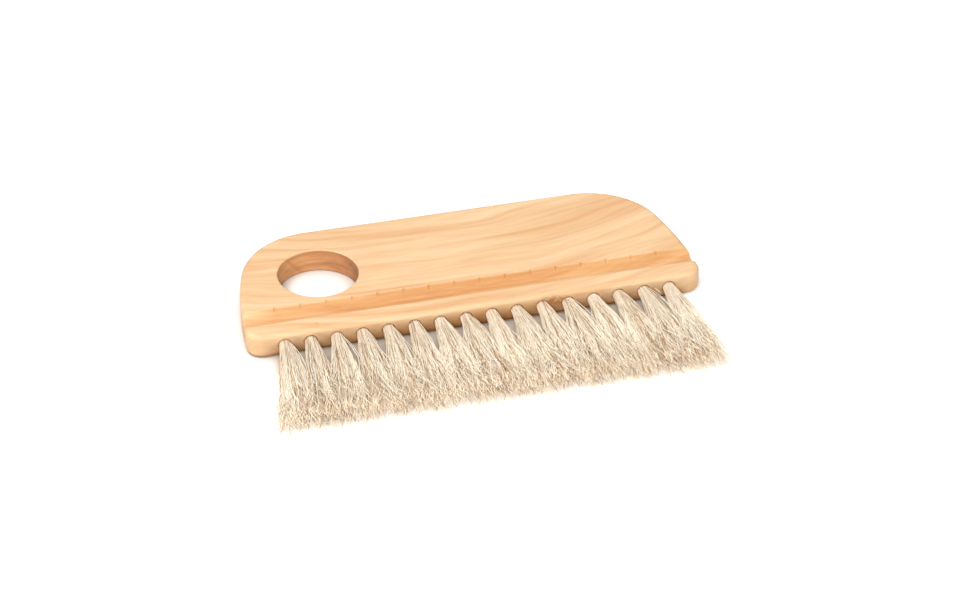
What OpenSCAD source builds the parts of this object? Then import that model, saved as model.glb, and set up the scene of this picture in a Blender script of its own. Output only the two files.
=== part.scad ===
// Clothes brush: a one-piece wooden block with a finger hole, a row of hair tufts
// drawn into its front edge, and the single wire that holds them. Millimetres.
//
// Origin: centre of the finger hole, halfway through the block's thickness.
// +X runs along the block, the tufts point to -Y, and +Z is the grooved face.

/* [Block] */
// Greatest length of the block, along its front edge
block_length = 200; // [196:1:206]
// Depth of the block, from its back edge to the face that the tufts stand in
block_depth = 73.5; // [71:0.5:78]
// Thickness of the block
block_thickness = 11; // [10:0.5:13]
// Radius of the two back corners
back_corner_r = 34; // [30:0.5:35]
// Distance between the centres of the two back corners
back_corner_spacing = 121.4; // [118:0.2:126]
// Radius of the two slightly bowed ends
end_r = 175; // [150:5:250]
// Radius of the two front corners, seen from above
front_corner_r = 6.5; // [3:0.5:8]
// Rounding of the block's outer edges
edge_r = 2.2; // [1:0.2:2.8]

/* [Finger hole] */
// Diameter of the finger hole
finger_hole_d = 35; // [28:0.5:38]
// Distance from the block's back edge to the centre of the finger hole
finger_hole_from_back = 33; // [31:0.5:34]
// Distance from the block's middle to the centre of the finger hole
finger_hole_from_middle = 61.25; // [58:0.25:64]
// Easing of the finger hole's two rims
finger_hole_easing = 0.6; // [0.2:0.1:1]

/* [Groove] */
// Width of the rail between the front face and the groove
rail_width = 9; // [8.6:0.1:10]
// Width of the groove, from the rail to the start of its round shoulder
groove_width = 11.3; // [10:0.1:13]
// Depth of the groove below the grooved face
groove_depth = 3.7; // [3.4:0.1:4]
// Radius of the groove's round shoulder
shoulder_r = 3.4; // [2:0.2:4]
// Slope of the groove's side between its shoulder and its foot
side_slope = 60; // [48:6:72]
// Radius of the hollow at the foot of that side
foot_r = 1.8; // [1:0.2:2]

/* [Tufts] */
// Number of tufts in the row
tuft_count = 16; // [4:1:16]
// Distance from tuft to tuft where they leave the block
tuft_pitch = 11.3; // [10:0.1:11.6]
// Distance from tuft to tuft at the trimmed tips, where the row fans out
tip_pitch = 12.1; // [11.8:0.1:12.4]
// Length of hair outside the block
free_length = 54; // [30:0.5:60]
// Diameter of each tuft where it leaves its bore
tuft_root_d = 5.2; // [4.6:0.1:5.2]
// Diameter of each tuft at its trimmed tips
tuft_tip_d = 10.6; // [8:0.1:10.8]

/* [Bores] */
// Diameter of the blind bores that the tufts are drawn into
bore_d = 5.4; // [5.4:0.1:6]
// Depth of the blind bores
bore_depth = 6; // [5:0.1:6.4]
// Diameter of the small draw holes between the bores and the groove
draw_hole_d = 1.8; // [1.6:0.1:1.8]
// Slope of the draw holes, which rise from the bores to the groove
draw_hole_slope = 24; // [22:1:28]

/* [Wire and tacks] */
// Diameter of the drawing wire
wire_d = 0.4; // [0.3:0.05:0.4]
// Diameter of the shank of the tacks that hold the wire's two ends
tack_shank_d = 0.8; // [0.6:0.1:0.8]
// Diameter of the tacks' heads
tack_head_d = 1.8; // [1.4:0.1:1.8]
// Length of the tacks' shanks in the wood
tack_grip = 4; // [3:0.5:5]

/* [Hidden] */
// Block. The end arcs touch the back corner circle and the front corner circle
// from outside, so that the outline runs smoothly through all three.
top_z = block_thickness / 2;
middle_x = finger_hole_from_middle;
back_y = finger_hole_from_back;
front_y = back_y - block_depth;
back_corner = [back_corner_spacing / 2, back_y - back_corner_r];
front_corner = [block_length / 2 - front_corner_r, front_y + front_corner_r];
corner_gap = norm(front_corner - back_corner);
corner_way = (front_corner - back_corner) / corner_gap;
from_back_corner = end_r - back_corner_r;
from_front_corner = end_r - front_corner_r;
foot_of_height = (pow(from_back_corner, 2) - pow(from_front_corner, 2) + pow(corner_gap, 2))
                 / (2 * corner_gap);
height = sqrt(pow(from_back_corner, 2) - pow(foot_of_height, 2));
end_centre = back_corner + foot_of_height * corner_way
             + height * [corner_way.y, -corner_way.x];
end_start = atan2(back_corner.y - end_centre.y, back_corner.x - end_centre.x);
end_stop = atan2(front_corner.y - end_centre.y, front_corner.x - end_centre.x);
end_steps = 6;
back_corner_steps = 64;
front_corner_steps = 32;
edge_step = 15;
spare = 1;

// Groove: a round shoulder, a straight steep side, a hollow foot and a flat floor
rail_y = front_y + rail_width;
shoulder_y = rail_y + groove_width;
groove_z = top_z - groove_depth;
straight_drop = groove_depth - (shoulder_r + foot_r) * (1 - cos(side_slope));
foot_y = shoulder_y - (shoulder_r + foot_r) * sin(side_slope) - straight_drop / tan(side_slope);
arc_step = 6;

// Bores and draw holes
bore_bottom_y = front_y + bore_depth;
draw_hole_start = 0.6;
draw_hole_length = (top_z + 1.4) / sin(draw_hole_slope);

// Free hair turns about a line just outside the front face, and its rounded root
// end is centred on that line, so that it turns inside the bore's mouth.
hinge_y = front_y - 1.5;
root_gap = 0.15;
tuft_r = tuft_root_d / 2;
tip_y = front_y - free_length;
root_clearance = 0.1;

// Wire: a straight run on the groove's floor, above the draw holes' mouths, with
// one narrow loop down each draw hole
wire_r = wire_d / 2;
wire_clearance = 0.02;
run_z = groove_z + wire_r + wire_clearance;
run_y = bore_bottom_y + run_z / tan(draw_hole_slope);
leg_length = run_z / sin(draw_hole_slope);
loop_reach = 1.8;
loop_half_width = 0.45;
bend_r_ratio = 1.15;
loop_clearance = 0.08;
run_overhang = 5;
run_end = (tuft_count - 1) / 2 * tuft_pitch + run_overhang;

// Tacks: beside the run, with the head over the wire
tack_setback = 1.5;
tack_fit = 0.02;
tack_y = run_y + wire_r + tack_shank_d / 2 + tack_fit;
tack_head_z = run_z + wire_r + tack_fit;
tack_head_height = 0.4;
tack_tip_z = groove_z - tack_grip;

pine = [0.98, 0.83, 0.65];
horsehair = [0.90, 0.82, 0.72];
steel = [0.75, 0.75, 0.74];

function two_digits(i) = str(i < 10 ? "0" : "", i);
function steps_from_middle(i) = i - (tuft_count + 1) / 2;
function root_x(i) = middle_x + steps_from_middle(i) * tuft_pitch;
function lean(i) = atan(steps_from_middle(i) * (tip_pitch - tuft_pitch) / (hinge_y - tip_y));

// A disc with rounded edges, as thick as the block
module rounded_disc(r, steps) {
    lower_edge = [for (a = [-90:edge_step:0])
        [r - edge_r + edge_r * cos(a), edge_r * (sin(a) + 1) - top_z]];
    upper_edge = [for (a = [0:edge_step:90])
        [r - edge_r + edge_r * cos(a), edge_r * (sin(a) - 1) + top_z]];
    rotate_extrude($fn = steps)
        polygon(concat([[0, -top_z]], lower_edge, upper_edge, [[0, top_z]]));
}

// The discs that the right-hand half of the outline wraps around
module outline_discs() {
    translate(back_corner) rounded_disc(back_corner_r, back_corner_steps);
    for (i = [0:end_steps]) {
        a = end_start + (end_stop - end_start) * i / end_steps;
        translate(end_centre + from_front_corner * [cos(a), sin(a)])
            rounded_disc(front_corner_r, front_corner_steps);
    }
}

module blank() {
    hull()
        for (side = [0, 1])
            translate([middle_x, 0, 0])
                mirror([side, 0, 0]) outline_discs();
}

module finger_hole() {
    hole_r = finger_hole_d / 2;
    cylinder(r = hole_r, h = block_thickness + 2 * spare, center = true, $fn = 96);
    for (side = [0, 1])
        mirror([0, 0, side])
            translate([0, 0, top_z - finger_hole_easing])
                cylinder(r1 = hole_r, r2 = hole_r + finger_hole_easing + spare,
                         h = finger_hole_easing + spare, $fn = 96);
}

module groove() {
    shoulder = [for (a = [0:arc_step:side_slope])
        [shoulder_y - shoulder_r * sin(a), top_z - shoulder_r * (1 - cos(a))]];
    foot = [for (a = [side_slope:-arc_step:0])
        [foot_y + foot_r * sin(a), groove_z + foot_r * (1 - cos(a))]];
    rest = [[rail_y, groove_z], [rail_y, top_z + spare], [shoulder_y, top_z + spare]];
    translate([middle_x - block_length / 2 - spare, 0, 0])
        rotate([90, 0, 90])
            linear_extrude(height = block_length + 2 * spare)
                polygon(concat(shoulder, foot, rest));
}

// Places its children at the centre of a bore's bottom, turned so that Z runs up
// the draw hole
module at_draw_hole(i) {
    translate([root_x(i), bore_bottom_y, 0])
        rotate([draw_hole_slope - 90, 0, 0])
            children();
}

module bore(i) {
    translate([root_x(i), front_y - spare, 0])
        rotate([-90, 0, 0])
            cylinder(d = bore_d, h = bore_depth + spare, $fn = 48);
}

// Runs on past its mouth in the groove, and so leaves a nick in the shoulder
module draw_hole(i) {
    at_draw_hole(i)
        translate([0, 0, -draw_hole_start])
            cylinder(d = draw_hole_d, h = draw_hole_length + draw_hole_start, $fn = 24);
}

module at_tacks() {
    for (side = [-1, 1])
        translate([middle_x + side * (run_end - tack_setback), tack_y, 0])
            children();
}

module tack_holes() {
    at_tacks()
        translate([0, 0, tack_tip_z - tack_fit])
            cylinder(d = tack_shank_d + 2 * tack_fit, h = tack_grip + spare, $fn = 24);
}

module block() {
    color(pine)
        difference() {
            blank();
            finger_hole();
            groove();
            for (i = [1:tuft_count]) {
                bore(i);
                draw_hole(i);
            }
            tack_holes();
        }
}

// One hairpin loop of the wire: two legs, and the bar that a tuft is folded over
module wire_loop(r) {
    for (side = [-1, 1])
        translate([side * loop_half_width, 0, 0]) {
            translate([0, 0, -loop_reach])
                cylinder(r = r, h = loop_reach + leg_length, $fn = 16);
            for (z = [-loop_reach, leg_length])
                translate([0, 0, z]) sphere(r = r * bend_r_ratio, $fn = 16);
        }
    translate([-loop_half_width, 0, -loop_reach])
        rotate([0, 90, 0])
            cylinder(r = r, h = 2 * loop_half_width, $fn = 16);
}

module drawing_wire() {
    color(steel) {
        translate([middle_x - run_end, run_y, run_z])
            rotate([0, 90, 0])
                cylinder(r = wire_r, h = 2 * run_end, $fn = 16);
        for (i = [1:tuft_count])
            at_draw_hole(i) wire_loop(wire_r);
    }
}

module wire_tacks() {
    color(steel)
        at_tacks() {
            translate([0, 0, tack_tip_z])
                cylinder(d = tack_shank_d, h = tack_head_z - tack_tip_z + tack_head_height / 2,
                         $fn = 24);
            translate([0, 0, tack_head_z])
                cylinder(d = tack_head_d, h = tack_head_height, $fn = 32);
        }
}

// The folded end of a tuft, inside its bore, with room for the loop that holds it
module tuft_root(i) {
    back_end_y = bore_bottom_y - root_clearance;
    front_end_y = hinge_y + tuft_r + root_gap;
    color(horsehair)
        difference() {
            translate([root_x(i), front_end_y, 0])
                rotate([-90, 0, 0])
                    cylinder(r = tuft_r, h = back_end_y - front_end_y, $fn = 48);
            at_draw_hole(i) wire_loop(wire_r + loop_clearance);
        }
}

// The free hair of a tuft: a round root end on the hinge line that widens to the tips
module tuft(i) {
    hair_length = (hinge_y - tip_y) / cos(lean(i));
    round_end = [for (a = [-90:15:0]) [tuft_r * cos(a), tuft_r * sin(a)]];
    tips = [[tuft_tip_d / 2, hair_length], [0, hair_length]];
    color(horsehair)
        translate([root_x(i), hinge_y, 0])
            rotate([0, 0, lean(i)])
                rotate([90, 0, 0])
                    rotate_extrude($fn = 48)
                        polygon(concat(round_end, tips));
}

block();
drawing_wire();
wire_tacks();
for (i = [1:tuft_count])
    tuft_root(i);
for (i = [1:tuft_count])
    tuft(i);
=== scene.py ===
"""Clothes brush: a pine block with a finger hole and a groove, and a row of horsehair tufts.

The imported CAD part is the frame. The block and the tufts are remade here as fine meshes in
the same places. The drawing wire and its tacks are the CAD's own. Lengths are in metres,
except inside the materials, which measure in millimetres.
"""
import math

import bmesh
import bpy
import numpy as np
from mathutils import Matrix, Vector


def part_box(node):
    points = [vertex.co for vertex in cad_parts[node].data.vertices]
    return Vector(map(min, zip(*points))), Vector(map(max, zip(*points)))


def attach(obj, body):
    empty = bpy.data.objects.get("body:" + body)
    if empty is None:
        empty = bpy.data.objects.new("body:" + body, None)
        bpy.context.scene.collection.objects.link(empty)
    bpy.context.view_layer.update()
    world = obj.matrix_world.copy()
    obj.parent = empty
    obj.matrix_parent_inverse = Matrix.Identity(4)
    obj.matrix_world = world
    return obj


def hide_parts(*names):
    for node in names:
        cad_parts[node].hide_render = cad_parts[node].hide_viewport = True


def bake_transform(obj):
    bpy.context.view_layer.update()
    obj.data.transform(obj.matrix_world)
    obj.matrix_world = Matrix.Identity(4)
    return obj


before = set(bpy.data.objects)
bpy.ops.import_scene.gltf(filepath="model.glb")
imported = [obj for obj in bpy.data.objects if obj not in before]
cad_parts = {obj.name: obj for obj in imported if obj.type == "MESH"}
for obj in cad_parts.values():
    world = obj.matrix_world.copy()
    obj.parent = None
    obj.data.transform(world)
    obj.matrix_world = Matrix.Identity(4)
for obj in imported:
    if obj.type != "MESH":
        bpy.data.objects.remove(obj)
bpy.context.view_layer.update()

MM = 0.001

# ---------------------------------------------------------------- sizes, from the frame
block_low, block_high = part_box("block")
MIDDLE_X = (block_low.x + block_high.x) / 2
FRONT_Y = block_low.y
BACK_Y = block_high.y
TOP_Z = block_high.z
HALF_LENGTH = (block_high.x - block_low.x) / 2

BACK_CORNER_R = 34 * MM
BACK_CORNER_X = 60.7 * MM
END_R = 175 * MM
FRONT_CORNER_R = 6.5 * MM
EDGE_R = 2.2 * MM
OUTLINE_STEP = 4 * MM
SHARP_ANGLE = math.radians(32)
FLAT_FACE_WEIGHT = 80

HOLE_R = 17.5 * MM
HOLE_EASING = 0.7 * MM

RAIL_Y = FRONT_Y + 9 * MM
SHOULDER_Y = RAIL_Y + 11.3 * MM
GROOVE_DEPTH = 3.7 * MM
GROOVE_Z = TOP_Z - GROOVE_DEPTH
SHOULDER_R = 3.4 * MM
FOOT_R = 1.8 * MM
GROOVE_CORNER_R = 0.3 * MM
SIDE_SLOPE = math.radians(60)
RAIL_EASING = 0.45 * MM
GROOVE_WANDER = 0.05 * MM
GROOVE_STEP = 2 * MM

BORE_R = 2.7 * MM
BORE_DEPTH = 6 * MM
BORE_FLARE = 0.12 * MM
DRAW_HOLE_R = 0.9 * MM
DRAW_HOLE_SLOPE = math.radians(24)
DRAW_HOLE_START = -0.6 * MM
DRAW_HOLE_LENGTH = (TOP_Z + 1.4 * MM) / math.sin(DRAW_HOLE_SLOPE)
TACK_HOLE_R = 0.43 * MM
TACK_HOLE_INSET = 0.9 * MM
TACK_HOLE_GAP = 0.02 * MM

TUFTS = sorted(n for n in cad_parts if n.startswith("tuft_") and "root" not in n)
ROOT_BOXES = [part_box(n.replace("tuft_", "tuft_root_")) for n in TUFTS]
ROOT_X = [(low.x + high.x) / 2 for low, high in ROOT_BOXES]
TUFT_PITCH = ROOT_X[1] - ROOT_X[0]
TIP_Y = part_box(TUFTS[0])[0].y
HAIR_LENGTH = FRONT_Y - TIP_Y
LAST_TUFT = len(TUFTS) - 1

# How far a cutter stands out of the wood it cuts
SPARE = 1 * MM


# ---------------------------------------------------------------- mesh helpers
def arc(centre, radius, start, stop, steps):
    """Points on an arc, angles in radians, both ends included."""
    turn = (stop - start) / steps
    angles = [start + turn * i for i in range(steps + 1)]
    return [(centre[0] + radius * math.cos(a), centre[1] + radius * math.sin(a)) for a in angles]


def circle(centre, radius, corners):
    """Points round a full circle, without repeating the first."""
    return arc(centre, radius, 0, math.tau * (corners - 1) / corners, corners - 1)


def straight(a, b, step):
    """Points strictly between a and b, about a step apart."""
    n = max(1, round(math.dist(a, b) / step))
    return [(a[0] + (b[0] - a[0]) * i / n, a[1] + (b[1] - a[1]) * i / n) for i in range(1, n)]


def new_object(name, bm):
    mesh = bpy.data.meshes.new(name)
    bmesh.ops.recalc_face_normals(bm, faces=bm.faces)
    bm.to_mesh(mesh)
    bm.free()
    made = bpy.data.objects.new(name, mesh)
    bpy.context.scene.collection.objects.link(made)
    return made


def add_rings(bm, rings):
    """A closed solid through rings of points, each ring with the same number of points."""
    made = [[bm.verts.new(p) for p in ring] for ring in rings]
    for lower, upper in zip(made, made[1:]):
        for i, corner in enumerate(lower):
            after = (i + 1) % len(lower)
            bm.faces.new((corner, lower[after], upper[after], upper[i]))
    bm.faces.new(list(reversed(made[0])))
    bm.faces.new(made[-1])


def cut(target, cutter):
    """Takes the cutter's shape out of the target and removes the cutter."""
    modifier = target.modifiers.new("cut", "BOOLEAN")
    modifier.operation = "DIFFERENCE"
    modifier.solver = "EXACT"
    modifier.object = cutter
    graph = bpy.context.evaluated_depsgraph_get()
    mesh = bpy.data.meshes.new_from_object(target.evaluated_get(graph), depsgraph=graph)
    target.modifiers.clear()
    target.data = mesh
    bpy.data.objects.remove(cutter)


# ---------------------------------------------------------------- block
def half_outline():
    """Circles that the right half of the outline follows: (centre, radius, start, stop, steps)."""
    back = Vector((BACK_CORNER_X, BACK_Y - BACK_CORNER_R))
    front = Vector((HALF_LENGTH - FRONT_CORNER_R, FRONT_Y + FRONT_CORNER_R))
    gap = (front - back).length
    way = (front - back) / gap
    from_back, from_front = END_R - BACK_CORNER_R, END_R - FRONT_CORNER_R
    along = (from_back**2 - from_front**2 + gap**2) / (2 * gap)
    aside = math.sqrt(from_back**2 - along**2)
    end = back + along * way + aside * Vector((way.y, -way.x))
    upper = math.atan2(back.y - end.y, back.x - end.x)
    lower = math.atan2(front.y - end.y, front.x - end.x)
    return [
        (front, FRONT_CORNER_R, -math.pi / 2, lower, 14),
        (end, END_R, lower, upper, 24),
        (back, BACK_CORNER_R, upper, math.pi / 2, 48),
    ]


def outline(inset):
    """The block's outline seen from above, that far inside its widest."""
    right = []
    for centre, radius, start, stop, steps in half_outline():
        right += arc(centre, radius - inset, start, stop, steps)[:-1]
    right.append((BACK_CORNER_X, BACK_Y - inset))
    left = [(-x, y) for x, y in reversed(right)]
    back = straight(right[-1], left[0], OUTLINE_STEP)
    front = straight(left[-1], right[0], OUTLINE_STEP)
    return [(MIDDLE_X + x, y) for x, y in right + back + left + front]


def blank():
    """The block before anything is cut into it, with rounded edges above and below."""
    levels = []
    for angle in np.radians(np.linspace(90, 0, 10)):
        inset = EDGE_R * (1 - math.cos(angle))
        drop = EDGE_R * (1 - math.sin(angle))
        levels.append((inset, -TOP_Z + drop))
    levels += [(inset, -z) for inset, z in reversed(levels)]
    bm = bmesh.new()
    add_rings(bm, [[(x, y, z) for x, y in outline(inset)] for inset, z in levels])
    return new_object("block_shape", bm)


def finger_hole():
    """A round hole with eased edges."""
    levels = [(HOLE_R + 2 * HOLE_EASING, TOP_Z + SPARE)]
    for angle in np.radians(np.linspace(80, 0, 6)):
        radius = HOLE_R + HOLE_EASING * (1 - math.cos(angle))
        levels.append((radius, TOP_Z - HOLE_EASING + HOLE_EASING * math.sin(angle)))
    levels += [(radius, -z) for radius, z in levels[::-1]]
    bm = bmesh.new()
    add_rings(bm, [[(x, y, z) for x, y in circle((0, 0), radius, 96)] for radius, z in levels])
    return new_object("hole_cutter", bm)


def groove_profile():
    """(y, z) points of the groove from the rail's eased edge, across the floor, up to the face."""
    rail_edge_y = RAIL_Y - RAIL_EASING
    rail = arc((rail_edge_y, TOP_Z - RAIL_EASING), RAIL_EASING, math.radians(88), 0, 5)
    straight_drop = GROOVE_DEPTH - (SHOULDER_R + FOOT_R) * (1 - math.cos(SIDE_SLOPE))
    foot_y = SHOULDER_Y - (SHOULDER_R + FOOT_R) * math.sin(SIDE_SLOPE)
    foot_y -= straight_drop / math.tan(SIDE_SLOPE)
    corner = (RAIL_Y + GROOVE_CORNER_R, GROOVE_Z + GROOVE_CORNER_R)
    floor = arc(corner, GROOVE_CORNER_R, math.pi, 1.5 * math.pi, 3)
    foot = arc((foot_y, GROOVE_Z + FOOT_R), FOOT_R, -math.pi / 2, SIDE_SLOPE - math.pi / 2, 8)
    top_of_side = math.pi / 2 + SIDE_SLOPE
    shoulder = arc((SHOULDER_Y, TOP_Z - SHOULDER_R), SHOULDER_R, top_of_side, math.radians(92), 14)
    above = [(SHOULDER_Y, TOP_Z + SPARE), (rail_edge_y, TOP_Z + SPARE)]
    return rail + floor + foot + shoulder + above


def groove():
    """The groove's edges wander by a few hundredths of a millimetre, as a hand-fed cut does."""
    rings = []
    for x in np.arange(-HALF_LENGTH - SPARE, HALF_LENGTH + 2 * SPARE, GROOVE_STEP):
        wander = GROOVE_WANDER * (math.sin(x * 310) + 0.7 * math.sin(x * 733 + 1))
        rings.append([(MIDDLE_X + x, y + wander, z) for y, z in groove_profile()])
    bm = bmesh.new()
    add_rings(bm, rings)
    return new_object("groove_cutter", bm)


def bores():
    """Blind bores, worn slightly wider at their mouths."""
    levels = [
        (BORE_R + 2 * BORE_FLARE, -SPARE),
        (BORE_R + BORE_FLARE, 0),
        (BORE_R + 0.3 * BORE_FLARE, 0.25 * MM),
        (BORE_R, 0.6 * MM),
        (BORE_R, BORE_DEPTH),
    ]
    bm = bmesh.new()
    for root_x in ROOT_X:
        rings = []
        for radius, depth in levels:
            ring = circle((0, 0), radius, 36)
            rings.append([(root_x + x, FRONT_Y + depth, z) for x, z in ring])
        add_rings(bm, rings)
    return new_object("bore_cutter", bm)


def slanted(root_x, out, across, aside):
    """A point in a draw hole's own axes: out along it from the bore's bottom, aside along X."""
    level = math.cos(DRAW_HOLE_SLOPE)
    rise = math.sin(DRAW_HOLE_SLOPE)
    back = out * level - across * rise
    return (root_x + aside, FRONT_Y + BORE_DEPTH + back, out * rise + across * level)


def draw_holes():
    """The holes that the wire's loops go down, from the groove to the bores."""
    ring = circle((0, 0), DRAW_HOLE_R, 20)
    bm = bmesh.new()
    for root_x in ROOT_X:
        ends = (DRAW_HOLE_START, DRAW_HOLE_LENGTH)
        add_rings(bm, [[slanted(root_x, out, a, b) for a, b in ring] for out in ends])
    return new_object("draw_hole_cutter", bm)


def tack_holes():
    """A hole for the shank of each tack."""
    low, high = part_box("wire_tacks")
    bm = bmesh.new()
    for x in (low.x + TACK_HOLE_INSET, high.x - TACK_HOLE_INSET):
        ring = circle((x, (low.y + high.y) / 2), TACK_HOLE_R, 16)
        add_rings(bm, [[(a, b, z) for a, b in ring] for z in (low.z - TACK_HOLE_GAP, GROOVE_Z + SPARE)])
    return new_object("tack_cutter", bm)


def make_block(pine):
    made = blank()
    for cutter in (groove(), finger_hole(), bores(), draw_holes(), tack_holes()):
        cut(made, cutter)
    made.name = "pine_block"
    made.data.name = "pine_block"
    for polygon in made.data.polygons:
        polygon.use_smooth = True
    made.data.set_sharp_from_angle(angle=SHARP_ANGLE)
    weighted = made.modifiers.new("normals", "WEIGHTED_NORMAL")
    weighted.keep_sharp = True
    weighted.weight = FLAT_FACE_WEIGHT
    made.data.materials.clear()
    made.data.materials.append(pine)
    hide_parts("block")
    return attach(made, "block")


# ---------------------------------------------------------------- hair
STRANDS = 430
RINGS = 14
SIDES = 3
INSIDE_RINGS = 2
HAIR_R = 0.15 * MM
THINNEST = 0.75
THICKEST = 1.3
BUNDLE_R = 2.45 * MM
HAIR_START = BORE_DEPTH - 0.3 * MM
HAIR_MOUTH = 0.6 * MM
ROOT_JITTER = 0.06 * MM

# Hairs bunch into locks. A scatter is along X and along Z.
LOCKS = 16
LOCK_LOOSENESS = 0.5
LOCK_WIDTH = 0.8
LOCK_SCATTER = np.array([3.0, 1.7]) * MM
OWN_SCATTER = np.array([1.2, 0.7]) * MM
STRAY_SHARE = 0.13
STRAY_SCATTER = np.array([6.5, 2.2]) * MM

TIP_HALF_WIDTH = 8.7 * MM
TIP_HALF_HEIGHT = 4.6 * MM
LEFT_LEAN = 6 * MM
RIGHT_LEAN = 1.2 * MM
TOP_DRIFT = 2.4 * MM
OUTER_REACH = 9.5 * MM
INNER_REACH = 12.5 * MM

# A hair's length against HAIR_LENGTH
USUAL_EXCESS = -0.5 * MM
EXCESS_SPREAD = 1.4 * MM
MOST_EXCESS = 2.0 * MM
SHORT_SHARE = 0.42
SHORT_FROM = 0.68
SHORT_TO = 0.99

# How early a tuft opens: a small FLARE_DELAY or power opens it near the block
FLARE_DELAY = 0.16
OPENING = 0.8
OPENING_LEAN = 0.22
OPENING_SPREAD = 0.06
LEAST_OPENING = 0.58
MOST_OPENING = 1.0
SIDE_WAVES = 1.0
HEIGHT_WAVES = 0.6
CURL_START = 0.62
CURL_SPREAD = 2.6 * MM
CURL_RISE = 0.3 * MM
CURL_RISE_SPREAD = 1.6 * MM

SAG = 0.12 * MM
FLOOR_GAP = 0.15 * MM
FLOOR_PILE = 0.8 * MM
# Painted light: the two end tufts, which stand in more light, have fewer of the darkest hairs
END_TUFT_LIT_TONE = 0.9
FIRST_SEED = 100


def sunflower(n, radius):
    """n evenly packed points in a disc."""
    i = np.arange(n)
    r = radius * np.sqrt((i + 0.5) / n)
    a = i * math.pi * (3 - math.sqrt(5))
    return np.stack([r * np.cos(a), r * np.sin(a)], axis=1)


def soft_limit(values, limit):
    return limit * np.tanh(values / limit)


def turn_matrix(angle):
    return np.array([[math.cos(angle), -math.sin(angle)], [math.sin(angle), math.cos(angle)]])


def unit(v):
    return v / np.linalg.norm(v, axis=-1, keepdims=True)


def hair_tips(index, root, rng):
    """Where hairs end, as x and z off the bore's axis, from where they start."""
    lock_root = sunflower(LOCKS, BUNDLE_R) @ turn_matrix(rng.uniform(0, math.tau))
    distance = ((root[:, None] - lock_root[None]) ** 2).sum(2) / MM**2
    lock = np.argmin(distance + rng.exponential(LOCK_LOOSENESS, distance.shape), axis=1)
    spread = np.array([TIP_HALF_WIDTH, TIP_HALF_HEIGHT]) / BUNDLE_R
    lock_tip = lock_root * spread + rng.normal(0, 1, lock_root.shape) * LOCK_SCATTER
    tip = lock_tip[lock] + (root - lock_root[lock]) * spread * LOCK_WIDTH
    tip += rng.normal(0, 1, root.shape) * OWN_SCATTER
    tip[:, 0] += TOP_DRIFT * root[:, 1] / BUNDLE_R
    stray = rng.random(len(root)) < STRAY_SHARE
    tip[stray] += rng.normal(0, 1, (int(stray.sum()), 2)) * STRAY_SCATTER
    left_reach = OUTER_REACH if index == 0 else INNER_REACH
    right_reach = OUTER_REACH if index == LAST_TUFT else INNER_REACH
    tip[:, 0] = soft_limit(tip[:, 0], np.where(tip[:, 0] > 0, right_reach, left_reach))
    return tip


def hair_lengths(rng):
    length = HAIR_LENGTH + rng.normal(USUAL_EXCESS, EXCESS_SPREAD, STRANDS)
    short = rng.random(STRANDS) < SHORT_SHARE
    length[short] *= rng.uniform(SHORT_FROM, SHORT_TO, int(short.sum()))
    return np.minimum(length, HAIR_LENGTH + MOST_EXCESS)


def waves(rng, out, along, strength):
    """Sideways swing of the hairs: one long wave each, and one short. Wave sizes are in millimetres."""
    swing = 0
    for shortest, longest, size in ((20, 44, 1.9), (8, 17, 0.45)):
        wave = rng.uniform(shortest, longest, STRANDS)[:, None] * MM
        phase = rng.uniform(0, math.tau, STRANDS)[:, None]
        height = rng.uniform(0.2, 1.0, STRANDS)[:, None] * size * MM * strength
        swing = swing + height * (np.sin(math.tau * out / wave + phase) - np.sin(phase)) * along
    return swing


def strand_lines(index, rng):
    """Centre lines of one tuft's hairs, as an array of strand, ring and x, y, z."""
    root = sunflower(STRANDS, BUNDLE_R) + rng.normal(0, ROOT_JITTER, (STRANDS, 2))
    tip = hair_tips(index, root, rng)
    length = hair_lengths(rng)[:, None]
    along = np.linspace(0, 1, RINGS - INSIDE_RINGS)[None, :]
    part = along * (length / HAIR_LENGTH)

    lean = np.interp(index, [0, LAST_TUFT / 2, LAST_TUFT], [-LEFT_LEAN, 0, RIGHT_LEAN])
    opening = OPENING - OPENING_LEAN * tip[:, 0] / TIP_HALF_WIDTH
    opening = np.clip(opening, LEAST_OPENING, MOST_OPENING) + rng.normal(0, OPENING_SPREAD, STRANDS)
    flare = (part * part / (part + FLARE_DELAY)) ** opening[:, None]
    x = root[:, :1] + (tip[:, :1] - root[:, :1]) * flare + lean * part
    z = root[:, 1:] + (tip[:, 1:] - root[:, 1:]) * flare
    y = -length * along
    x = x + waves(rng, -y, along, SIDE_WAVES)
    z = z + waves(rng, -y, along, HEIGHT_WAVES)
    curl = np.clip((along - CURL_START) / (1 - CURL_START), 0, 1) ** 2
    x = x + rng.normal(0, CURL_SPREAD, STRANDS)[:, None] * curl
    z = z + rng.normal(CURL_RISE, CURL_RISE_SPREAD, STRANDS)[:, None] * curl

    outside = np.stack([x, y, z], axis=2)
    inside = np.repeat(outside[:, :1], INSIDE_RINGS, axis=1)
    inside[:, :, 1] = np.linspace(HAIR_START, HAIR_MOUTH, INSIDE_RINGS)
    line = np.concatenate([inside, outside], axis=1) + [ROOT_X[index], FRONT_Y, -SAG]
    lowest = -TOP_Z + FLOOR_GAP + rng.uniform(0, FLOOR_PILE, STRANDS)[:, None]
    line[:, :, 2] = np.maximum(line[:, :, 2], lowest)
    return line


def tube_points(line, radius):
    """Corners of a three-sided tube round each line, as an array of strand, ring, side and x, y, z."""
    ahead = unit(np.gradient(line, axis=1))
    aside = unit(np.cross(ahead, [0.0, 0.0, 1.0]))[:, :, None]
    above = np.cross(aside[:, :, 0], ahead)[:, :, None]
    angle = (np.arange(SIDES) * math.tau / SIDES)[None, None, :, None]
    return line[:, :, None] + radius[:, :, None, None] * (aside * np.cos(angle) + above * np.sin(angle))


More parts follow.
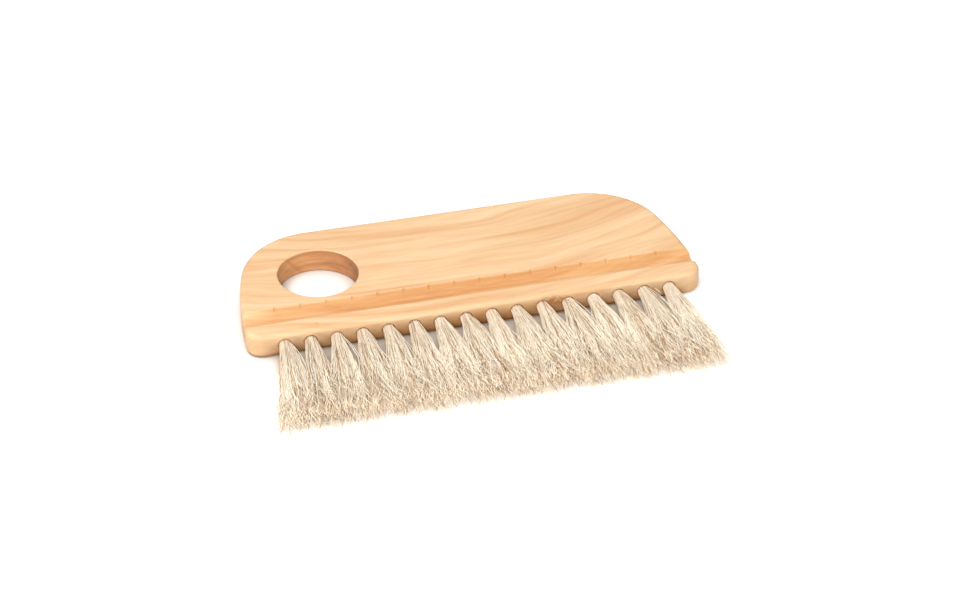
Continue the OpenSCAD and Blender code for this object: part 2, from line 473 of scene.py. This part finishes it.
def tube_faces(n, rings):
    """Corner numbers of n closed tubes: the sides' quads, then the caps' triangles."""
    first = np.arange(n)[:, None, None] * rings * SIDES
    ring = np.arange(rings - 1)[None, :, None]
    side = np.arange(SIDES)[None, None, :]
    after = (side + 1) % SIDES
    low = first + ring * SIDES
    high = first + (ring + 1) * SIDES
    quads = np.stack([low + side, high + side, high + after, low + after], axis=-1)
    start = first[:, 0] + np.arange(SIDES)[None, :]
    end = first[:, 0] + (rings - 1) * SIDES + np.arange(SIDES)[None, ::-1]
    return quads.reshape(-1, 4), np.concatenate([start, end])


def tube_uvs(n, rings):
    """A strip of UV map for each tube, in the order of tube_faces, in a square grid of cells."""
    columns = math.ceil(math.sqrt(n))
    rows = math.ceil(n / columns)
    cell = np.arange(n)
    column = cell % columns
    row = cell // columns
    ring = np.arange(rings - 1)[None, :, None]
    side = np.arange(SIDES)[None, None, :]
    across = np.stack([side, side, side + 1, side + 1], -1) / SIDES * 0.8 + 0.1
    low = ring + 0 * side
    up = np.stack([low, low + 1, low + 1, low], -1) / (rings - 1) * 0.9 + 0.05
    u = (column[:, None, None, None] + across) / columns + np.zeros_like(up)
    v = (row[:, None, None, None] + up) / rows
    strips = [np.stack([u, v], -1).reshape(-1, 2)]
    for height in (0.05, 0.95):
        cap = np.stack([(column + 0.5) / columns, (row + height) / rows], 1)
        strips.append(np.repeat(cap, SIDES, 0))
    return np.concatenate(strips)


def strand_mesh(name, line, radius, tone):
    """One mesh of closed three-sided tubes round the lines."""
    n, rings = line.shape[:2]
    points = tube_points(line, radius)
    quads, caps = tube_faces(n, rings)
    mesh = bpy.data.meshes.new(name)
    mesh.vertices.add(n * rings * SIDES)
    mesh.vertices.foreach_set("co", points.astype(np.float32).ravel())
    mesh.loops.add(quads.size + caps.size)
    corners = np.concatenate([quads.ravel(), caps.ravel()])
    mesh.loops.foreach_set("vertex_index", corners.astype(np.int32))
    mesh.polygons.add(len(quads) + len(caps))
    starts = np.concatenate([np.arange(len(quads)) * 4, quads.size + np.arange(len(caps)) * SIDES])
    mesh.polygons.foreach_set("loop_start", starts.astype(np.int32))
    mesh.polygons.foreach_set("use_smooth", np.ones(len(quads) + len(caps), bool))
    mesh.update(calc_edges=True)

    along = np.tile(np.repeat(np.linspace(0, 1, rings), SIDES), n)
    for label, values in (("tone", np.repeat(tone, rings * SIDES)), ("along", along)):
        attribute = mesh.attributes.new(label, "FLOAT", "POINT")
        attribute.data.foreach_set("value", values.astype(np.float32))
    layer = mesh.uv_layers.new(name="OFBake")
    layer.data.foreach_set("uv", tube_uvs(n, rings).astype(np.float32).ravel())
    mesh.validate()
    return mesh


def make_tuft(index, hair):
    rng = np.random.default_rng(FIRST_SEED + index)
    line = strand_lines(index, rng)
    thickness = HAIR_R * rng.uniform(THINNEST, THICKEST, STRANDS)[:, None]
    taper = np.interp(np.linspace(0, 1, RINGS), [0, 0.7, 1], [1, 0.95, 0.55])[None, :]
    # Painted light: the end tufts get a paler range of tones
    end_light = END_TUFT_LIT_TONE if index in (0, LAST_TUFT) else 1.0
    tone = rng.random(STRANDS) * end_light
    mesh = strand_mesh(f"hair_{index + 1:02d}", line, thickness * taper, tone)
    mesh.materials.append(hair)
    made = bpy.data.objects.new(mesh.name, mesh)
    bpy.context.scene.collection.objects.link(made)
    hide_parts(TUFTS[index], TUFTS[index].replace("tuft_", "tuft_root_"))
    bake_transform(made)
    return made


# ---------------------------------------------------------------- materials
class Tree:
    """Short calls for building one material's nodes."""

    def __init__(self, name):
        self.material = bpy.data.materials.new(name)
        self.material.use_nodes = True
        self.nodes = self.material.node_tree.nodes
        self.links = self.material.node_tree.links
        self.shader = self.nodes["Principled BSDF"]

    def put(self, socket, value):
        """Links a socket to another node's output, or sets its value."""
        if isinstance(value, bpy.types.NodeSocket):
            self.links.new(value, socket)
        else:
            socket.default_value = value

    def set(self, **values):
        """Sets the shader's inputs. An underscore stands for a space."""
        for name, value in values.items():
            self.put(self.shader.inputs[name.replace("_", " ")], value)

    def math(self, operation, a, b=0.0, clamp=False):
        made = self.nodes.new("ShaderNodeMath")
        made.operation = operation
        made.use_clamp = clamp
        self.put(made.inputs[0], a)
        self.put(made.inputs[1], b)
        return made.outputs[0]

    def times(self, *values, clamp=False):
        """The product of two or more values."""
        product = values[0]
        for value in values[1:-1]:
            product = self.math("MULTIPLY", product, value)
        return self.math("MULTIPLY", product, values[-1], clamp=clamp)

    def noise(self, place, rate, detail=2.0, roughness=0.5):
        """Noise at a place (x, y, z), with a rate of change for each axis."""
        vector = self.nodes.new("ShaderNodeCombineXYZ")
        for socket, part, factor in zip(vector.inputs, place, rate):
            self.put(socket, self.times(part, factor))
        made = self.nodes.new("ShaderNodeTexNoise")
        self.put(made.inputs["Vector"], vector.outputs[0])
        self.put(made.inputs["Scale"], 1.0)
        self.put(made.inputs["Detail"], detail)
        self.put(made.inputs["Roughness"], roughness)
        return made.outputs["Fac"]

    def ramp(self, value, *stops):
        """Maps a value through (position, colour or grey) stops."""
        made = self.nodes.new("ShaderNodeValToRGB")
        self.put(made.inputs[0], value)
        elements = made.color_ramp.elements
        while len(elements) < len(stops):
            elements.new(0.5)
        for element, (position, colour) in zip(elements, stops):
            element.position = position
            element.color = colour if isinstance(colour, tuple) else (colour, colour, colour, 1)
        return made.outputs[0]

    def mix(self, share, a, b, blend="MIX"):
        made = self.nodes.new("ShaderNodeMix")
        made.data_type = "RGBA"
        made.blend_type = blend
        self.put(made.inputs["Factor"], share)
        self.put(made.inputs[6], a)
        self.put(made.inputs[7], b)
        return made.outputs[2]

    def tint(self, share, colour, by):
        """The colour multiplied by another, to that share."""
        return self.mix(share, colour, by, "MULTIPLY")

    def bump(self, height, distance):
        made = self.nodes.new("ShaderNodeBump")
        self.put(made.inputs["Height"], height)
        made.inputs["Distance"].default_value = distance
        self.links.new(made.outputs[0], self.shader.inputs["Normal"])

    def attribute(self, name):
        made = self.nodes.new("ShaderNodeAttribute")
        made.attribute_type = "GEOMETRY"
        made.attribute_name = name
        return made.outputs["Fac"]

    def place_mm(self):
        """The point's place in the frame, in millimetres, as x, y and z."""
        place = self.nodes.new("ShaderNodeTexCoord").outputs["Object"]
        scaled = self.nodes.new("ShaderNodeVectorMath")
        scaled.operation = "MULTIPLY"
        self.links.new(place, scaled.inputs[0])
        scaled.inputs[1].default_value = (1 / MM, 1 / MM, 1 / MM)
        split = self.nodes.new("ShaderNodeSeparateXYZ")
        self.links.new(scaled.outputs[0], split.inputs[0])
        return tuple(split.outputs)


def near(t, value, centre, reach):
    """1 at the centre, falling to 0 that far away."""
    away = t.math("ABSOLUTE", t.math("SUBTRACT", value, centre))
    return t.math("SUBTRACT", 1.0, t.math("DIVIDE", away, reach), clamp=True)


def step_up(t, value, low, high):
    """0 below low, 1 above high. Low may be the greater."""
    return t.math("DIVIDE", t.math("SUBTRACT", value, low), high - low, clamp=True)


def distance(t, a, b):
    return t.math("SQRT", t.math("ADD", t.math("POWER", a, 2.0), t.math("POWER", b, 2.0)))


# Places on the block in millimetres, as materials measure them
FRONT = FRONT_Y / MM
TOP = TOP_Z / MM
LEFT = (MIDDLE_X - HALF_LENGTH) / MM
RAIL = RAIL_Y / MM
SHOULDER = SHOULDER_Y / MM
MIDDLE = MIDDLE_X / MM
PITCH = TUFT_PITCH / MM
HALF_ROW = (ROOT_X[-1] - MIDDLE_X) / MM

KNOT_X = (ROOT_X[10] + ROOT_X[11]) / 2 / MM - 1.5
KNOT_Z = 0.8
KNOT_HALF_LENGTH = 9.0
KNOT_HALF_HEIGHT = 4.6
SPLINTER_X = (ROOT_X[-2] + ROOT_X[-1]) / 2 / MM
SPLINTER_Z = -1.2
SPLINTER_HALF_WIDTH = 0.7
SPLINTER_HALF_HEIGHT = 2.2
SPLINTER_SLANT = 0.8
SPECK_X = -8.5
SPECK_Y = FRONT + 4.4
SPECK_HALF_LENGTH = 1.3
SPECK_HALF_WIDTH = 0.5
BORE_SHADE_WIDTH = 0.6
HANDLED_WIDTH = 4.0

WOOD_RELIEF = 0.03 * MM
WIRE_RELIEF = 0.01 * MM
PALE_PINE = (0.695, 0.486, 0.288, 1)
DEEP_PINE = (0.580, 0.318, 0.146, 1)
# Painted shade round the bore mouths, where the hair meets the wood
BORE_SHADE_BROWN = (0.42, 0.17, 0.055, 1)
KNOT_BROWN = (0.38, 0.16, 0.055, 1)
SPLINTER_CREAM = (0.86, 0.66, 0.46, 1)
# The groove's own deeper colour and painted shade in the hollow, together
SLOPE_TONE_AND_SHADE = (0.80, 0.63, 0.43, 1)
GROOVE_TONE_AND_SHADE = (0.97, 0.90, 0.81, 1)
# Painted shade on the front top edge
EDGE_SHADE_TINT = (0.96, 0.84, 0.80, 1)
HOLE_LEFT_TINT = (1.0, 0.78, 0.56, 1)
HOLE_RIGHT_TINT = (0.56, 0.38, 0.29, 1)
# Painted shade from the tufts, low on the front face
FRONT_SHADE_TINT = (0.44, 0.28, 0.13, 1)

GRAIN_MIDDLE = 50.0
GRAIN_BOW = 0.00154
GRAIN_WANDER = 14.0
GRAIN_TILT = 0.55
RING_WIDTH = 8.3
BROAD_SHARE = 0.46
NARROW_SHARE = 0.32
FLECK_SHARE = 0.24
LATE_SHARE = 0.25


def pine_grain(t, place):
    """How much late wood shows, 0 to 1: streaks that run along the block and bow at both ends."""
    x, y, z = place
    bow = t.times(t.math("POWER", t.math("SUBTRACT", x, GRAIN_MIDDLE), 2.0), GRAIN_BOW)
    wander = t.noise((x, y, 0.0), (0.014, 0.035, 1.0), 1.0)
    row = t.math("SUBTRACT", y, bow)
    row = t.math("ADD", row, t.times(wander, GRAIN_WANDER))
    row = t.math("ADD", row, t.times(z, GRAIN_TILT))
    broad = t.noise((x, row, 7.0), (0.011, 0.10, 1.0), 1.0)
    narrow = t.noise((x, row, 3.0), (0.011, 0.27, 1.0), 2.0)
    fleck = t.noise((x, row, 1.0), (0.05, 0.62, 1.0), 3.0, 0.65)
    ring = t.math("FRACT", t.math("DIVIDE", row, RING_WIDTH))
    late = t.ramp(ring, (0.0, 0.0), (0.4, 0.1), (0.82, 0.7), (0.93, 1.0), (1.0, 0.0))
    amount = t.times(t.ramp(broad, (0.38, 0.0), (0.68, 1.0)), BROAD_SHARE)
    amount = t.math("ADD", amount, t.times(t.ramp(narrow, (0.42, 0.0), (0.66, 1.0)), NARROW_SHARE))
    amount = t.math("ADD", amount, t.times(t.ramp(fleck, (0.46, 0.0), (0.66, 1.0)), FLECK_SHARE))
    return t.math("ADD", amount, t.times(late, LATE_SHARE), clamp=True)


def shade_front_edge(t, place, colour):
    """Painted shade: the front top edge, darkened and reddened where the eased edge catches the most
    light.
    """
    x, y, z = place
    edge_shade = t.times(step_up(t, y, FRONT + HANDLED_WIDTH, FRONT), step_up(t, z, TOP - 1.3, TOP - 0.3))
    return t.tint(edge_shade, colour, EDGE_SHADE_TINT)


def tone_and_shade_groove(t, place, colour):
    """The groove is deeper in colour, partly the cut wood's own colour and partly painted shade in the
    hollow, most of all on its streaky slope, which fades at the left end.
    """
    x, y, z = place
    after_rail = step_up(t, y, RAIL - 0.1, RAIL + 0.1)
    before_face = step_up(t, y, SHOULDER + 1.0, SHOULDER - 0.5)
    below_face = step_up(t, z, TOP, TOP - 0.3)
    streak = t.noise((x, y, 5.0), (0.06, 0.8, 1.0), 3.0, 0.6)
    on_slope = step_up(t, y, SHOULDER - 6.6, SHOULDER - 4.0)
    on_slope = t.times(on_slope, t.ramp(streak, (0.36, 0.72), (0.62, 1.2)), clamp=True)
    on_slope = t.times(on_slope, step_up(t, x, LEFT + 2.0, LEFT + 15.0))
    tint = t.mix(on_slope, GROOVE_TONE_AND_SHADE, SLOPE_TONE_AND_SHADE)
    return t.tint(t.times(after_rail, before_face, below_face), colour, tint)


def tint_hole(t, place, colour):
    """The finger hole's wall is layered, pale on its left and red-brown on its right."""
    x, y, z = place
    radius = HOLE_R / MM
    by_wall = step_up(t, distance(t, x, y), radius + 1.0, radius + 0.2)
    in_hole = t.times(by_wall, step_up(t, z, TOP - 0.1, TOP - 0.8))
    tint = t.mix(step_up(t, x, -radius, radius), HOLE_LEFT_TINT, HOLE_RIGHT_TINT)
    layer = t.noise(place, (0.04, 0.10, 0.55), 3.0, 0.6)
    tint = t.tint(1.0, tint, t.ramp(layer, (0.34, 0.78), (0.62, 1.12)))
    return t.tint(in_hole, colour, tint)


def front_face(t, place):
    """1 on the front face, 0 on the rest of the block."""
    return step_up(t, place[1], FRONT + 2.0, FRONT + 0.6)


def shade_front_between_tufts(t, place, colour):
    """Painted shade: the front face is brown and blotched low down between the tufts, where the hairs
    shade it.
    """
    x, y, z = place
    blotch = t.noise(place, (0.25, 1.0, 0.5), 3.0)
    low_down = step_up(t, t.math("ADD", z, t.times(blotch, 3.0)), 4.4, -2.6)
    in_row = near(t, x, MIDDLE, HALF_ROW + 9.0)
    low_down = t.times(low_down, t.ramp(in_row, (0.0, 0.25), (0.08, 1.0)))
    return t.tint(t.times(front_face(t, place), low_down), colour, FRONT_SHADE_TINT)


def add_bore_shade_rims(t, place, colour):
    """Painted shade: a brown rim round each bore, where the hair meets the wood."""
    x, y, z = place
    radius = BORE_R / MM
    turn = t.math("DIVIDE", t.math("SUBTRACT", x, ROOT_X[0] / MM), PITCH)
    turn = t.math("SUBTRACT", t.math("FRACT", t.math("ADD", turn, 0.5)), 0.5)
    from_bore = distance(t, t.times(turn, PITCH), z)
    in_row = step_up(t, near(t, x, MIDDLE, HALF_ROW + 6.0), 0.0, 0.01)
    shade_rim = t.times(in_row, step_up(t, from_bore, radius + BORE_SHADE_WIDTH, radius + BORE_SHADE_WIDTH / 4))
    return t.mix(t.times(shade_rim, front_face(t, place)), colour, BORE_SHADE_BROWN)


def knot_mask(t, place, rough):
    """The ragged knot in the front face."""
    x, y, z = place
    knot = t.times(near(t, x, KNOT_X, KNOT_HALF_LENGTH), near(t, z, KNOT_Z, KNOT_HALF_HEIGHT))
    knot = t.times(knot, front_face(t, place))
    return t.times(knot, t.ramp(rough, (0.38, 0.0), (0.54, 2.0)), clamp=True)


def add_speck(t, place, colour):
    """A brown speck on the rail."""
    x, y, z = place
    speck = t.times(near(t, x, SPECK_X, SPECK_HALF_LENGTH), near(t, y, SPECK_Y, SPECK_HALF_WIDTH))
    return t.mix(t.times(speck, 0.8), colour, KNOT_BROWN)


def add_splinter(t, place, colour):
    """A pale splinter slanting across the front face, between the last two tufts."""
    x, y, z = place
    across = t.math("ADD", t.math("SUBTRACT", x, SPLINTER_X), t.times(z, SPLINTER_SLANT))
    narrow = near(t, across, 0.0, SPLINTER_HALF_WIDTH)
    low = near(t, z, SPLINTER_Z, SPLINTER_HALF_HEIGHT)
    splinter = t.times(narrow, low, front_face(t, place), 2.0, clamp=True)
    return t.mix(splinter, colour, SPLINTER_CREAM)


def pine_material():
    t = Tree("oiled_pine")
    place = t.place_mm()
    grain = pine_grain(t, place)
    fibre = t.noise(place, (0.07, 2.4, 2.4))
    rough = t.noise(place, (0.88, 1.1, 1.1), 4.0, 0.7)
    knot = knot_mask(t, place, rough)

    colour = t.mix(grain, PALE_PINE, DEEP_PINE)
    colour = shade_front_edge(t, place, colour)
    colour = t.tint(0.4, colour, t.ramp(fibre, (0.3, 0.84), (0.7, 1.0)))
    colour = tone_and_shade_groove(t, place, colour)
    colour = tint_hole(t, place, colour)
    colour = shade_front_between_tufts(t, place, colour)
    colour = add_bore_shade_rims(t, place, colour)
    colour = t.mix(knot, colour, KNOT_BROWN)
    colour = add_speck(t, place, colour)
    colour = add_splinter(t, place, colour)
    t.set(Base_Color=colour, Roughness=t.ramp(fibre, (0.3, 0.46), (0.7, 0.6)), Specular_IOR_Level=0.3)

    height = t.math("ADD", fibre, t.times(grain, 0.5))
    height = t.math("SUBTRACT", height, t.times(knot, rough, 6.0))
    t.bump(height, WOOD_RELIEF)
    return t.material


# Hair colours from the palest strand's to the darkest's. The roots' colours are darker than the tips'
# as painted shade near the block.
SHADED_ROOT_COLOURS = (
    (0.0, (0.79, 0.675, 0.53, 1)),
    (0.7, (0.74, 0.615, 0.465, 1)),
    (0.84, (0.58, 0.42, 0.26, 1)),
    (1.0, (0.38, 0.25, 0.15, 1)),
)
TIP_COLOURS = (
    (0.0, (0.99, 0.91, 0.77, 1)),
    (0.70, (0.94, 0.83, 0.65, 1)),
    (0.82, (0.58, 0.385, 0.21, 1)),
    (1.0, (0.41, 0.245, 0.12, 1)),
)
# Painted shade on the last part of each hair, near the floor and under the hairs above
HAIR_END_SHADE = (0.80, 0.72, 0.64, 1)


def hair_material():
    t = Tree("horsehair")
    tone = t.attribute("tone")
    along = t.attribute("along")
    root = t.ramp(tone, *SHADED_ROOT_COLOURS)
    tip = t.ramp(tone, *TIP_COLOURS)
    # Painted shade: darker towards the roots
    colour = t.mix(t.ramp(along, (0.22, 0.0), (0.68, 1.0)), root, tip)
    # Painted shade towards the hair ends
    colour = t.tint(t.ramp(along, (0.8, 0.0), (1.0, 0.4)), colour, HAIR_END_SHADE)
    t.set(Base_Color=colour, Roughness=t.ramp(tone, (0.0, 0.34), (1.0, 0.5)), Specular_IOR_Level=0.5)
    return t.material


def steel_material():
    t = Tree("bright_wire")
    scratch = t.noise(t.place_mm(), (2.0, 12.0, 12.0))
    t.set(
        Base_Color=t.ramp(scratch, (0.3, 0.55), (0.7, 0.72)),
        Roughness=t.ramp(scratch, (0.3, 0.28), (0.7, 0.42)),
        Metallic=1.0,
    )
    t.bump(scratch, WIRE_RELIEF)
    return t.material


# ---------------------------------------------------------------- studio
FLOOR_COLOUR = (0.80, 0.77, 0.735, 1)
SHUT_IN_GREY = (0.29, 0.235, 0.19, 1)
SHUT_IN_REACH = 14 * MM
FLOOR_LIFT = 0.25
FLOOR_HALF = 2.0

WORLD_STRENGTH = 0.46
KEY_PLACE = (MIDDLE_X - 0.7, -0.3, 1.9)
KEY_SIZE = 1.2
KEY_WATTS = 33
FILL_PLACE = (MIDDLE_X - 0.5, -1.7, 1.2)
FILL_SIZE = 1.0
FILL_WATTS = 40
LIT_POINT = (MIDDLE_X, 0, 0)

CAMERA_PLACE = Vector((-255.8, -1269.6, 912.2)) * MM
CAMERA_AZIMUTH = math.radians(14.49)
CAMERA_DROP = math.radians(35.46)
CAMERA_LENS_MM = 137.1
SENSOR_MM = 36


def floor_material():
    """White, a little brighter to the camera than it is lit, with a deep shadow under the roots."""
    t = Tree("white_sweep")
    x, y, z = t.place_mm()
    openness = t.nodes.new("ShaderNodeAmbientOcclusion")
    openness.inputs["Distance"].default_value = SHUT_IN_REACH
    openness.samples = 8
    shut_in = t.ramp(openness.outputs["AO"], (0.25, 1.0), (0.85, 0.0))
    behind_tips = step_up(t, y, FRONT - 30.0, FRONT - 12.0)
    beside_block = step_up(t, x, MIDDLE + HALF_ROW + 9.0, MIDDLE + HALF_ROW + 3.0)
    shade = t.mix(t.times(shut_in, behind_tips, beside_block), FLOOR_COLOUR, SHUT_IN_GREY)
    seen = t.nodes.new("ShaderNodeLightPath").outputs["Is Camera Ray"]
    t.set(Base_Color=shade, Roughness=0.9, Specular_IOR_Level=0.0)
    t.set(Emission_Color=shade, Emission_Strength=t.times(seen, FLOOR_LIFT))
    return t.material


def make_floor():
    bm = bmesh.new()
    corners = []
    for x, y in ((-1, -1), (1, -1), (1, 1), (-1, 1)):
        corners.append(bm.verts.new((MIDDLE_X + x * FLOOR_HALF, y * FLOOR_HALF, -TOP_Z)))
    bm.faces.new(corners)
    floor = new_object("floor", bm)
    floor.data.materials.append(floor_material())


def aim(thing, ahead):
    """Turns a light or a camera to look ahead, and adds it to the scene."""
    thing.rotation_euler = ahead.to_track_quat("-Z", "Y").to_euler()
    bpy.context.scene.collection.objects.link(thing)


def area_light(name, place, size, watts):
    data = bpy.data.lights.new(name, "AREA")
    data.shape = "DISK"
    data.size = size
    data.energy = watts
    light = bpy.data.objects.new(name, data)
    light.location = place
    aim(light, Vector(LIT_POINT) - Vector(place))


def make_world():
    """Soft light from all round. The camera itself sees plain white."""
    world = bpy.data.worlds.new("studio")
    world.use_nodes = True
    nodes, links = world.node_tree.nodes, world.node_tree.links
    shown = nodes.new("ShaderNodeMath")
    shown.operation = "MAXIMUM"
    links.new(nodes.new("ShaderNodeLightPath").outputs["Is Camera Ray"], shown.inputs[0])
    shown.inputs[1].default_value = WORLD_STRENGTH
    links.new(shown.outputs[0], nodes["Background"].inputs["Strength"])
    nodes["Background"].inputs["Color"].default_value = (1.0, 1.0, 1.0, 1)
    bpy.context.scene.world = world


def make_camera():
    data = bpy.data.cameras.new("camera")
    data.lens = CAMERA_LENS_MM
    data.sensor_width = SENSOR_MM
    camera = bpy.data.objects.new("camera", data)
    camera.location = CAMERA_PLACE
    level = math.cos(CAMERA_DROP)
    ahead = (math.sin(CAMERA_AZIMUTH) * level, math.cos(CAMERA_AZIMUTH) * level, -math.sin(CAMERA_DROP))
    aim(camera, Vector(ahead))
    bpy.context.scene.camera = camera


def main():
    make_block(pine_material())
    hair = hair_material()
    for index in range(len(TUFTS)):
        make_tuft(index, hair)
    steel = steel_material()
    for name in ("drawing_wire", "wire_tacks"):
        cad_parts[name].data.materials.clear()
        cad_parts[name].data.materials.append(steel)
    make_floor()
    make_world()
    area_light("key", KEY_PLACE, KEY_SIZE, KEY_WATTS)
    area_light("fill", FILL_PLACE, FILL_SIZE, FILL_WATTS)
    make_camera()
    bpy.context.scene.view_settings.view_transform = "Standard"
    bpy.context.scene.cycles.diffuse_bounces = 12


main()
